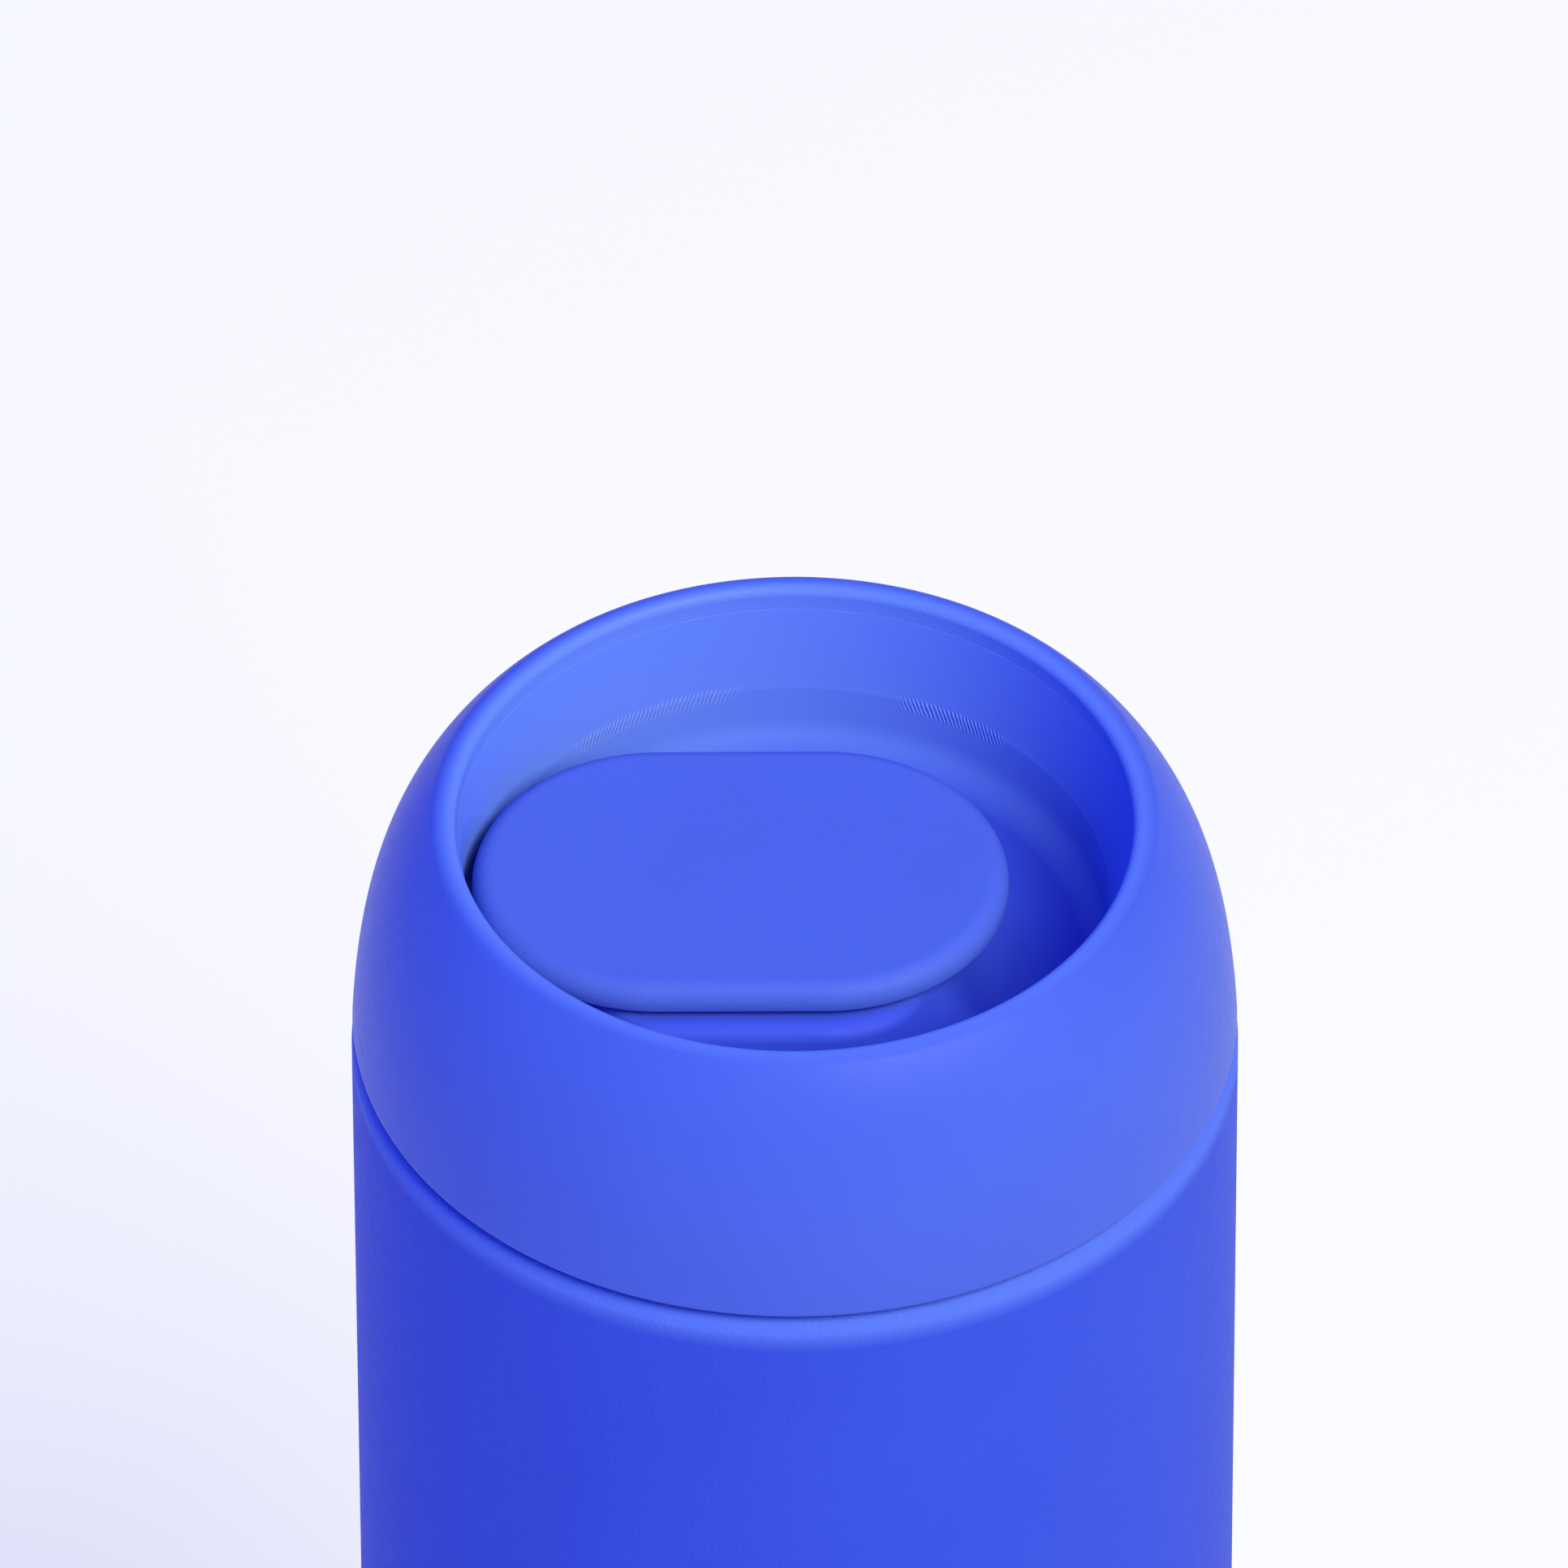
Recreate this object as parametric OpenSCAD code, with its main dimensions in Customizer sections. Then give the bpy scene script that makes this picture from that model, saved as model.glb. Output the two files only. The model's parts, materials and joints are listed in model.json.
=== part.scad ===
// Vacuum-insulated drinking bottle with a domed screw lid and a swing-up flap in its dish.
// Millimetres, +Z up, origin at the centre of the foot. The flap's long axis lies along X,
// with its hinge at the -X end and its finger end at the +X end.

/* [Bottle body] */
// Outside diameter of the steel body
body_d = 73; // [72:0.5:90]
// Height of the steel body, from the table to the shoulder
body_h = 178; // [120:1:260]
// Thickness of the steel sheet
steel_t = 0.8; // [0.6:0.1:1]
// Width of the vacuum between the two walls
vacuum_w = 2.5; // [1.5:0.1:4]
// Radius of the shoulder's outer edge
shoulder_r = 1.8; // [1:0.1:2.2]
// Radius of the body's lower edge
heel_r = 2.5; // [1.5:0.1:3]
// Height of the steel above the table, which is how far the foot pad stands proud
foot_proud = 1; // [0.5:0.1:2]
// Depth of the recess that holds the foot pad
base_recess = 3.4; // [2.6:0.1:6]

/* [Neck] */
// Bore of the neck
neck_d = 60.4; // [59:0.1:63]
// Height of the straight neck
neck_h = 16; // [14:0.5:24]
// Rise of the screw thread in one turn
thread_pitch = 4; // [3.4:0.1:5]
// Turns of thread on the neck and on the plug
thread_turns = 1.5; // [1:0.25:2]
// Height of a thread ridge
thread_h = 1.1; // [0.8:0.1:1.3]
// Depth of the lid's plug below the shoulder
plug_h = 12.5; // [11.5:0.5:14]

/* [Dome] */
// Height of the rim above the shoulder
dome_h = 22.8; // [21:0.1:27]
// Slit between the shoulder and the dome
seam_gap = 0.6; // [0.4:0.1:1]
// Thickness of the dome's wall
dome_t = 1.8; // [1.4:0.1:2.2]
// Radius of the rim's highest circle
rim_top_r = 28.6; // [28.2:0.1:30]
// Radius of the rim's outer edge
rim_outer_r = 1.8; // [1:0.1:2.5]
// Radius of the rim's inner edge
rim_inner_r = 0.9; // [0.6:0.1:1.2]

/* [Dish] */
// Radius of the crease where the dish's wall turns vertical
crease_r = 25.6; // [25:0.1:26]
// Depth of the crease below the rim
crease_depth = 9.4; // [8:0.1:10]
// Width of the step at the crease
crease_w = 0.35; // [0.2:0.05:0.5]
// Depth of the dish's floor below the rim
floor_depth = 17.6; // [16:0.1:18]
// Radius of the curve between the dish's wall and its floor
bowl_r = 6; // [3:0.5:7]
// Thickness of the dish's wall
dish_t = 1.6; // [1.2:0.1:1.8]
// How far the shelf under the flap stands out past the flap
shelf_w = 1.75; // [1:0.05:2.2]
// Radius of the finger scoop under the flap's free end
scoop_r = 13; // [10:0.5:15]

/* [Flap] */
// Length of the flap
flap_l = 44; // [38:0.5:45]
// Width of the flap
flap_w = 30.2; // [26:0.2:31]
// Thickness of the flap at its edge
flap_t = 2.3; // [2.2:0.1:3]
// Radius of the flap's upper edge
flap_edge_r = 1.7; // [0.8:0.1:1.9]
// Distance of the flap's middle from the bottle's axis, towards the hinge
flap_shift = 4.4; // [3.6:0.1:4.6]
// Depth of the flap's top below the rim
flap_depth = 5.7; // [5.2:0.1:7]
// Slit between the flap and the shelf
flap_gap = 0.6; // [0.4:0.1:0.9]
// Distance of the hinge axis from the flap's hinge end
hinge_inset = 9; // [8:0.1:10]
// Depth of the hinge axis below the flap's top
hinge_drop = 4.1; // [3.8:0.1:4.6]
// Diameter of the hinge pin
pin_d = 2; // [1.6:0.1:2.4]
// Slit between the flap's hinge end and the tail well
well_gap = 0.9; // [0.8:0.05:1.2]

/* [Stopper and spout] */
// Distance of the spout from the flap's middle, towards the free end
spout_shift = 7; // [6:0.1:8]
// Bore of the spout below the stopper's seat
spout_d = 14; // [11:0.5:15]
// Width of the ledge below the stopper
seat_ledge = 0.7; // [0.5:0.1:1]
// How much wider the seat's mouth is than its bottom, on the radius
seat_flare = 0.4; // [0.3:0.1:0.8]
// Depth of the stopper's seat below the shelf
seat_depth = 5.1; // [4:0.1:6]
// Thickness of the spout tube
tube_t = 1.5; // [1.2:0.1:1.6]

/* [Hidden] */

$fn = 96;
cut = 1;          // how far a cutting shape runs past the face that it cuts
fit = 0.05;       // radial clearance of a running fit, and of pieces that are glued or snapped together
clear = 0.3;      // clearance between pieces that move past each other

// Finishes
cobalt = [0.20, 0.30, 0.90];
cobalt_powder = [0.19, 0.28, 0.86];
steel = [0.78, 0.79, 0.80];
charcoal = [0.13, 0.13, 0.15];
silicone = [0.24, 0.26, 0.32];

// Bottle body
body_r = body_d / 2;
sheet_z = foot_proud + steel_t;
stand_w = 2;             // width of the heel's flat underside
recess_r = body_r - heel_r - stand_w;
plate_z = foot_proud + base_recess;
vessel_r = body_r - steel_t - vacuum_w;
base_vacuum_h = 4.8;     // height of the vacuum between the two bases
vessel_z = plate_z + steel_t + base_vacuum_h;
vessel_corner_r = 8;
weld_rise = 4;           // height of the vessel's weld above its rounded corner
weld_z = vessel_z + vessel_corner_r + weld_rise;
getter_x = 18;
getter_r = 5;
getter_h = 2.2;
getter_t = 0.4;
bead_r = 2.5;
bead_h = 1;
vent_r = 1;
tablet_h = 1.4;
pad_gap = 0.15;
pad_ring_w = 8;          // width of the ring that the bottle stands on
pad_hollow = 0.6;        // depth of the hollow inside that ring

// Neck and thread
neck_r = neck_d / 2;
lip_w = 1.9;             // width of the neck's flat lip
lip_r = neck_r + lip_w;
lip_edge_r = 0.35;
flare_h = 4;
flare_shift = 0.3;       // keeps the sheet's thickness along the flare
thread_gap = 0.4;
thread_root_w = 1.8;
thread_crest_w = 0.9;
thread_sink = 0.3;
thread_facets = 36;
thread_lead_turns = 0.12;
plug_r = neck_r - thread_h - thread_gap;
plug_t = 1.8;
thread_start = 1.6;      // height of the thread's first turn above the plug's end
plug_thread_z = body_h - plug_h + thread_start;
neck_thread_z = plug_thread_z + thread_pitch / 2;

// Dome: a curve from the seam to the rim's outer edge, then an arc over the rim
rim_z = body_h + dome_h;
seam_z = body_h + seam_gap;
dome_inset = 0.1;       // how much slimmer the dome is than the body, on the radius
dome_r = body_r - dome_inset;
dome_lean = 3.2;        // lean of the wall at the seam, degrees from vertical
dome_rim_lean = 42;     // lean of the wall where it meets the rim's outer edge
dome_low_pull = 9.4;    // length of the curve's lower handle
dome_high_pull = 6.4;   // length of the curve's upper handle
dome_steps = 20;
dome_edge = 0.5;        // bevel at the seam
rim_solid_w = 0.6;      // width of the solid rim outside the dish's tongue

// Flap
flap_half_w = flap_w / 2;
flap_half_straight = (flap_l - flap_w) / 2;
flap_top_z = rim_z - flap_depth;
flap_bottom_z = flap_top_z - flap_t;
flap_bevel = 0.3;
flap_skirt_w = 1.6;
flap_roof_t = 1.2;
frame_top_z = flap_top_z - flap_roof_t;
shelf_z = flap_bottom_z - flap_gap;

// Hinge
hinge_x = hinge_inset - flap_shift - flap_l / 2;
hinge_z = flap_top_z - hinge_drop;
pin_r = pin_d / 2;
barrel_t = 1.3;
barrel_r = pin_r + barrel_t;
barrel_half_l = 8;
barrel_flat = 0.2;
barrel_gap = 0.4;
barrel_neck = 1.7;       // half the width of the web between the barrel and the frame
ear_relief = 0.8;
open_angle = 95;
ear_w = 2.4;
ear_y = barrel_half_l + clear;
pin_half_l = ear_y + ear_w - fit;
well_edge_x = hinge_x - 0.7;
well_wall = 1.6;
block_half_w = ear_y + ear_w;
block_l = 6.6;
block_x = well_edge_x + block_l;
block_h = 6.6;
block_end_t = 0.7;
spring_t = 0.4;
spring_half_w = 5.5;
spring_rise = 0.5;
spring_pocket = 1.2;     // depth of the spring's pocket below the barrel
screw_r = 1;
screw_head_r = 1.9;
screw_head_h = 1.3;
hinge_screw_y = 8.6;
hinge_screw_x = hinge_x + 2.9;

// The flap's tail: how far it reaches past the hinge axis when it dips below the shelf, the
// distance of its cap's centre from the axis, and the radius of the circle that it sweeps
tail_reach = shelf_z - hinge_z + 0.4;
tail_corner_r = norm([tail_reach, hinge_drop]);
tail_cap_x = -flap_half_straight - flap_shift - hinge_x;
tail_sweep_r = norm([hinge_inset - flap_edge_r, hinge_drop - flap_edge_r]) + flap_edge_r;
tail_gap = 0.4;
tail_steps = 8;
tail_tip_w = tail_half_w(tail_sweep_r) + clear + well_wall;

// Dish and the seats of the hinge's fasteners
hinge_screw_grip = 3.5;  // length of screw in the hinge block
hinge_screw_head_z = rim_z - floor_depth - 0.4;
hinge_screw_l = shelf_z - block_h + hinge_screw_grip - hinge_screw_head_z;
spring_floor_z = hinge_z - barrel_r - spring_pocket;
crease_z = rim_z - crease_depth;
crease_bevel = 0.12;
floor_z = rim_z - floor_depth;
parting_z = rim_z - 2;
parting_r = rim_top_r - rim_inner_r - 0.15;
tongue_t = 1;
tongue_h = 2;
tongue_step = 1;
rib_t = 1.8;
floor_lap = 0.5;         // how far pieces of the dish run into each other
well_back_h = 5;         // height of the wall behind the tail, above the crease
bowl_steps = 10;
scoop_out = 7.2;
scoop_sink = 1.2;

// Spout and stopper
spout_x = spout_shift - flap_shift;
spout_r = spout_d / 2;
seat_z = shelf_z - seat_depth;
seat_low_r = spout_r + seat_ledge;
seat_top_r = seat_low_r + seat_flare;
tube_r = seat_top_r + tube_t;
post_gap = 1.5;          // thickness of silicone around the post
post_r = spout_r - post_gap;
post_head_r = post_r + 0.6;
post_head_h = 1.2;
stopper_floor = 1.3;
stopper_gap = 0.2;
stopper_flange = 0.3;
stopper_flange_w = 0.8;

// Lid core
plug_z = body_h - plug_h;
cap_t = 1.6;
web_z = body_h;
web_t = 1.5;
groove_in_r = plug_r;
groove_out_r = lip_r + 0.6;
groove_h = 1.3;
core_h = 3;
core_bevel = 1;
core_top_z = seam_z + core_h;
tail_room_r = tail_sweep_r + tail_gap + well_wall + clear;
tail_room_w = tail_half_w(0) + clear + well_wall + clear;
tail_room_z = hinge_z - sqrt(max(0, pow(tail_room_r, 2) - pow(max(0, plug_r - plug_t + hinge_x), 2)));
boss_r = 2.8;
boss_gap = 2.6;          // room between the bosses and the plug's wall
core_screw_ring_r = plug_r - plug_t - boss_r - boss_gap;
core_screw_angles = [20, -20, 100, -100];
core_screw_l = 6;
core_screw_hole_r = screw_r + 0.2;
head_hole_gap = 0.2;
collar_w = 3.4;          // width of the cap's collar around the spout tube
gasket_edge = 0.3;
gasket_lip = 0.4;
foam_gap = 0.5;
foam_top_z = web_z - screw_head_h - foam_gap;
oring_r = 0.9;
oring_gap = 0.02;

// Points of an arc, with its centre, radius and first and last angle
function arc(centre, r, from, to, steps = 6) = [
    for (i = [0 : steps]) let (a = from + (to - from) * i / steps) centre + r * [cos(a), sin(a)]
];

// A point of a cubic curve through four control points, and the direction there
function curve_at(p, t) =
    pow(1 - t, 3) * p[0] + 3 * pow(1 - t, 2) * t * p[1] + 3 * (1 - t) * t * t * p[2] + pow(t, 3) * p[3];
function curve_dir(p, t) =
    pow(1 - t, 2) * (p[1] - p[0]) + 2 * (1 - t) * t * (p[2] - p[1]) + t * t * (p[3] - p[2]);

// The dome's outer line, pushed inwards by a thickness
dome_rim_c = [rim_top_r, rim_z - rim_outer_r];
dome_low = [dome_r, seam_z + dome_edge];
dome_high = dome_rim_c + rim_outer_r * [cos(dome_rim_lean), sin(dome_rim_lean)];
dome_curve = [
    dome_low,
    dome_low + dome_low_pull * [-sin(dome_lean), cos(dome_lean)],
    dome_high - dome_high_pull * [-sin(dome_rim_lean), cos(dome_rim_lean)],
    dome_high
];
function dome_line(inset) = [
    for (i = [0 : dome_steps])
        let (t = i / dome_steps, d = curve_dir(dome_curve, t), n = [d[1], -d[0]] / norm(d))
        curve_at(dome_curve, t) - inset * n
];
dome_inner = [for (p = dome_line(dome_t)) if (p[0] > parting_r + tongue_t + rim_solid_w) p];

// The radius of the dome's inner face at a height
function dome_inner_r(z) = lookup(z, [for (p = dome_inner) [p[1], p[0]]]);

// A stadium across X, grown by a margin, centred on the flap
module flap_outline(grow = 0) {
    for (side = [-1, 1]) {
        translate([side * flap_half_straight - flap_shift, 0]) circle(r = flap_half_w + grow);
    }
    translate([-flap_half_straight - flap_shift, -flap_half_w - grow]) {
        square([2 * flap_half_straight, flap_w + 2 * grow]);
    }
}

// A slab with the flap's outline
module flap_slab(z0, z1, grow = 0) {
    translate([0, 0, z0]) linear_extrude(z1 - z0) flap_outline(grow);
}

// A cylinder along Y, centred on the hinge axis
module hinge_cylinder(r, half_l) {
    translate([hinge_x, 0, hinge_z]) rotate([90, 0, 0]) cylinder(r = r, h = 2 * half_l, center = true);
}

// A block from its lowest to its highest corner
module block(lo, hi) {
    translate(lo) cube(hi - lo);
}

// A helical ridge of one and a half turns or so, with tapered ends, sunk a little into its cylinder
module thread_ridge(wall_r, crest_r, start_z) {
    out = sign(crest_r - wall_r);
    steps = round(thread_turns * thread_facets);
    lead = thread_lead_turns * thread_facets;
    root_r = wall_r - out * thread_sink;
    slope = (thread_root_w - thread_crest_w) / 2 / thread_h;
    points = [
        for (i = [0 : steps])
            let (
                a = 360 * i / thread_facets,
                z = start_z + thread_pitch * i / thread_facets,
                rise = max(0.1, min(1, i / lead, (steps - i) / lead)),
                top_r = wall_r + (crest_r - wall_r) * rise,
                root_w = thread_root_w / 2 + slope * thread_sink,
                top_w = thread_root_w / 2 - slope * thread_h * rise
            )
            each [
                [root_r * cos(a), root_r * sin(a), z - root_w],
                [top_r * cos(a), top_r * sin(a), z - top_w],
                [top_r * cos(a), top_r * sin(a), z + top_w],
                [root_r * cos(a), root_r * sin(a), z + root_w]
            ]
    ];
    sides = [
        for (i = [0 : steps - 1], k = [0 : 3])
            let (a = 4 * i + k, b = 4 * i + (k + 1) % 4)
            each [[a, b, b + 4], [a, b + 4, a + 4]]
    ];
    last = 4 * steps;
    ends = [[0, 3, 2], [0, 2, 1], [last, last + 1, last + 2], [last, last + 2, last + 3]];
    faces = concat(sides, ends);
    polyhedron(points, out > 0 ? faces : [for (f = faces) [f[0], f[2], f[1]]], convexity = 6);
}

// Bottle body ---------------------------------------------------------------------------------

// Outer steel shell, from the heel to the flat shoulder
module outer_wall() color(cobalt_powder) rotate_extrude() {
    heel_c = [body_r - heel_r, foot_proud + heel_r];
    shoulder_c = [body_r - shoulder_r, body_h - shoulder_r];
    polygon(concat(
        [[recess_r, foot_proud]],
        arc(heel_c, heel_r, -90, 0),
        arc(shoulder_c, shoulder_r, 0, 90),
        [[lip_r, body_h], [lip_r, body_h - steel_t]],
        arc(shoulder_c, shoulder_r - steel_t, 90, 0),
        arc(heel_c, heel_r - steel_t, 0, -90),
        [[recess_r, sheet_z]]
    ));
}

// Pressed steel base, welded inside the heel, with the evacuation hole in its middle
module outer_base() color(steel) rotate_extrude() polygon([
    [vent_r, plate_z],
    [recess_r, plate_z],
    [recess_r, sheet_z],
    [body_r - heel_r, sheet_z],
    [body_r - heel_r, sheet_z + steel_t],
    [recess_r + steel_t, sheet_z + steel_t],
    [recess_r + steel_t, plate_z + steel_t],
    [vent_r, plate_z + steel_t]
]);

// Inner steel vessel with the threaded neck, welded to the shoulder at its lip
module inner_wall() color(steel) {
    rotate_extrude() polygon(concat(
        [[lip_r, body_h - steel_t], [lip_r, body_h]],
        arc([neck_r + lip_edge_r, body_h - lip_edge_r], lip_edge_r, 90, 180, 3),
        [
            [neck_r, body_h - neck_h],
            [vessel_r - steel_t, body_h - neck_h - flare_h],
            [vessel_r - steel_t, weld_z],
            [vessel_r, weld_z],
            [vessel_r, body_h - neck_h - flare_h + flare_shift],
            [neck_r + steel_t, body_h - neck_h + flare_shift],
            [neck_r + steel_t, body_h - steel_t]
        ]
    ));
    thread_ridge(neck_r, neck_r - thread_h, neck_thread_z);
}

// Bottom of the inner vessel
module inner_base() color(steel) rotate_extrude() {
    corner_c = [vessel_r - vessel_corner_r, vessel_z + vessel_corner_r];
    polygon(concat(
        [[0, vessel_z]],
        arc(corner_c, vessel_corner_r, -90, 0),
        [[vessel_r, weld_z], [vessel_r - steel_t, weld_z]],
        arc(corner_c, vessel_corner_r - steel_t, 0, -90),
        [[0, vessel_z + steel_t]]
    ));
}

// Small cup on the base plate, inside the vacuum
module getter_cup() color(steel) translate([getter_x, 0, plate_z + steel_t]) difference() {
    cylinder(r = getter_r, h = getter_h);
    translate([0, 0, getter_t]) cylinder(r = getter_r - getter_t, h = getter_h);
}

// Getter tablet that keeps the vacuum
module getter_tablet() color([0.35, 0.35, 0.37]) {
    translate([getter_x, 0, plate_z + steel_t + getter_t]) {
        cylinder(r = getter_r - getter_t - fit, h = tablet_h);
    }
}

// Glass bead that closes the evacuation hole
module seal_bead() color([0.32, 0.28, 0.22]) {
    translate([0, 0, plate_z - bead_h]) cylinder(r = bead_r, h = bead_h);
    translate([0, 0, plate_z]) cylinder(r = vent_r - fit, h = steel_t);
}

// Silicone pad in the base's recess; the bottle stands on its outer ring
module foot_pad() color(cobalt) difference() {
    cylinder(r = recess_r - pad_gap, h = plate_z);
    translate([0, 0, plate_z - bead_h - clear]) cylinder(r = bead_r + clear, h = bead_h + clear + cut);
    translate([0, 0, -cut]) cylinder(r = recess_r - pad_ring_w, h = pad_hollow + cut);
}

// Lid -----------------------------------------------------------------------------------------

// Silicone ring that seals the lid against the neck's lip
module lid_gasket() color(silicone) rotate_extrude() {
    lo = body_h + clear;
    hi = seam_z + groove_h - clear;
    in_r = groove_in_r + clear;
    out_r = groove_out_r - clear;
    waist = (lo + hi) / 2;
    polygon([
        [in_r + gasket_lip, lo],
        [out_r - gasket_edge, lo],
        [out_r, lo + gasket_edge],
        [out_r, hi - gasket_edge],
        [out_r - gasket_edge, hi],
        [in_r + gasket_lip, hi],
        [in_r, waist]
    ]);
}

// Outer shell of the lid, from the seam over the rim to the parting line inside the dish
module dome_shell() color(cobalt) rotate_extrude() {
    inner_low = dome_inner[0];
    inner_high = dome_inner[len(dome_inner) - 1];
    tongue_r = parting_r + tongue_t + fit;
    polygon(concat(
        [[dome_r - dome_edge, seam_z]],
        dome_line(0),
        arc(dome_rim_c, rim_outer_r, dome_rim_lean, 90),
        arc([rim_top_r, rim_z - rim_inner_r], rim_inner_r, 90, 180),
        [[parting_r, parting_z], [tongue_r, parting_z], [tongue_r, inner_high[1]]],
        [for (i = [len(dome_inner) - 1 : -1 : 0]) dome_inner[i]],
        [[inner_low[0], seam_z]]
    ));
}

// The dish's cavity, turned around the bottle's axis
module dish_cavity_line() {
    bowl_c = [crease_r - bowl_r, floor_z + bowl_r];
    polygon(concat(
        [[0, floor_z]],
        arc(bowl_c, bowl_r, -90, 0, bowl_steps),
        [
            [crease_r, crease_z - crease_bevel],
            [crease_r + crease_bevel, crease_z],
            [crease_r + crease_w, crease_z],
            [parting_r, parting_z],
            [parting_r, parting_z + cut],
            [0, parting_z + cut]
        ]
    ));
}

// The dish's moulded wall, turned around the bottle's axis
module dish_wall() rotate_extrude() {
    bowl_c = [crease_r - bowl_r, floor_z + bowl_r];
    slope = (parting_r - crease_r) / (parting_z - crease_z);
    tongue_z = parting_z - tongue_h;
    difference() {
        polygon(concat(
            [[0, floor_z - dish_t]],
            arc(bowl_c, bowl_r + dish_t, -90, 0, bowl_steps),
            [
                [crease_r + dish_t, crease_z],
                [crease_r + dish_t + slope * (tongue_z - crease_z), tongue_z - tongue_step],
                [parting_r + tongue_t, tongue_z],
                [parting_r + tongue_t, parting_z],
                [0, parting_z]
            ]
        ));
        dish_cavity_line();
    }
}

// Half the width of the flap's tail at a distance from the hinge axis
function tail_half_w(rho) =
    let (d = rho < tail_corner_r ? -tail_reach : sqrt(rho * rho - hinge_drop * hinge_drop))
    sqrt(max(0, flap_half_w * flap_half_w - pow(tail_cap_x + d, 2)));

// The solid that the flap's tail sweeps around the hinge axis, grown outwards and sideways
module tail_sweep(grow, side) {
    root = [tail_half_w(0) + side, -tail_half_w(0) - side];
    edge = [
        for (i = [0 : tail_steps])
            let (rho = tail_corner_r + (tail_sweep_r - tail_corner_r) * i / tail_steps)
            [rho + grow, tail_half_w(rho) + side]
    ];
    translate([hinge_x, 0, hinge_z]) rotate([90, 0, 0]) rotate_extrude() polygon(concat(
        [[0, root[1]], [0, root[0]], [tail_corner_r + grow, root[0]]],
        edge,
        [for (i = [tail_steps : -1 : 0]) [edge[i][0], -edge[i][1]]],
        [[tail_corner_r + grow, root[1]]]
    ));
}

// The space for the flap's tail on the hinge's outer side, grown by a thickness
module tail_space(grow, x_edge, top_z) intersection() {
    union() {
        tail_sweep(tail_gap + grow, clear + grow);
        flap_slab(hinge_z, top_z, well_gap + grow);
    }
    block([hinge_x - flap_l, -flap_w, floor_z - floor_depth], [x_edge, flap_w, top_z]);
}

// Wall around the tail well: below the shelf all round, and above it only behind the dish's wall
module tail_well_wall() difference() {
    tail_space(well_wall, well_edge_x + well_wall, crease_z + well_back_h);
    intersection() {
        rotate_extrude() dish_cavity_line();
        translate([0, 0, shelf_z]) cylinder(r = body_r, h = dome_h);
    }
}

// Finger scoop under the flap's free end
module scoop(grow = 0) {
    end_x = flap_l / 2 - flap_shift;
    translate([end_x + scoop_out, 0, floor_z + scoop_r - scoop_sink]) sphere(r = scoop_r + grow, $fn = 64);
}

// Dish insert: wall, floor, shelf, tail well and spout tube
module dish() color(cobalt) difference() {
    union() {
        dish_wall();
        intersection() {
            flap_slab(floor_z - floor_lap, shelf_z, shelf_w);
            translate([0, 0, floor_z - cut]) {
                cylinder(r = crease_r + dish_t / 2, h = shelf_z - floor_z + 2 * cut);
            }
            union() {
                block([-body_d, -body_d, floor_z - cut], [spout_x + seat_top_r, body_d, shelf_z + cut]);
                difference() {
                    block([0, -body_d, floor_z - cut], [body_d, body_d, shelf_z + cut]);
                    scoop();
                }
            }
        }
        tail_well_wall();
        translate([spout_x, 0, plug_z]) cylinder(r = spout_r + tube_t, h = seat_z - plug_z);
        translate([spout_x, 0, floor_z - floor_lap]) {
            cylinder(r = tube_r, h = shelf_z - floor_z + floor_lap);
        }
        core_screw_places() translate([0, 0, web_z + web_t]) {
            cylinder(r = boss_r, h = floor_z - web_z - web_t - floor_lap);
        }
    }
    // tail well
    tail_space(0, well_edge_x, rim_z);
    // spout bore and stopper seat
    translate([spout_x, 0, plug_z - cut]) cylinder(r = spout_r, h = seat_z - plug_z + 2 * cut);
    translate([spout_x, 0, seat_z]) {
        cylinder(r1 = seat_low_r, r2 = seat_top_r, h = seat_depth);
        translate([0, 0, seat_depth]) cylinder(r = seat_top_r, h = cut);
    }
    // space under the shelf
    difference() {
        flap_slab(floor_z - dish_t - cut, shelf_z - rib_t, shelf_w - rib_t);
        translate([spout_x, 0, web_z]) cylinder(r = tube_r, h = dome_h);
        block([-body_d, -body_d, web_z], [block_x + rib_t, body_d, shelf_z]);
        scoop(rib_t);
        core_screw_places() translate([0, 0, web_z]) cylinder(r = boss_r, h = dome_h);
    }
    // pocket for the hinge block
    block(
        [well_edge_x - cut, -block_half_w - fit, shelf_z - block_h - fit],
        [block_x + fit, block_half_w + fit, shelf_z + cut]
    );
    // screw holes
    hinge_screw_places() {
        translate([0, 0, web_z]) cylinder(r = screw_r + fit, h = dome_h);
        translate([0, 0, web_z]) {
            cylinder(r = screw_head_r + head_hole_gap, h = hinge_screw_head_z + screw_head_h - web_z);
        }
    }
    core_screw_places() translate([0, 0, web_z]) cylinder(r = screw_r + fit, h = core_screw_l - web_t);
}

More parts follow.
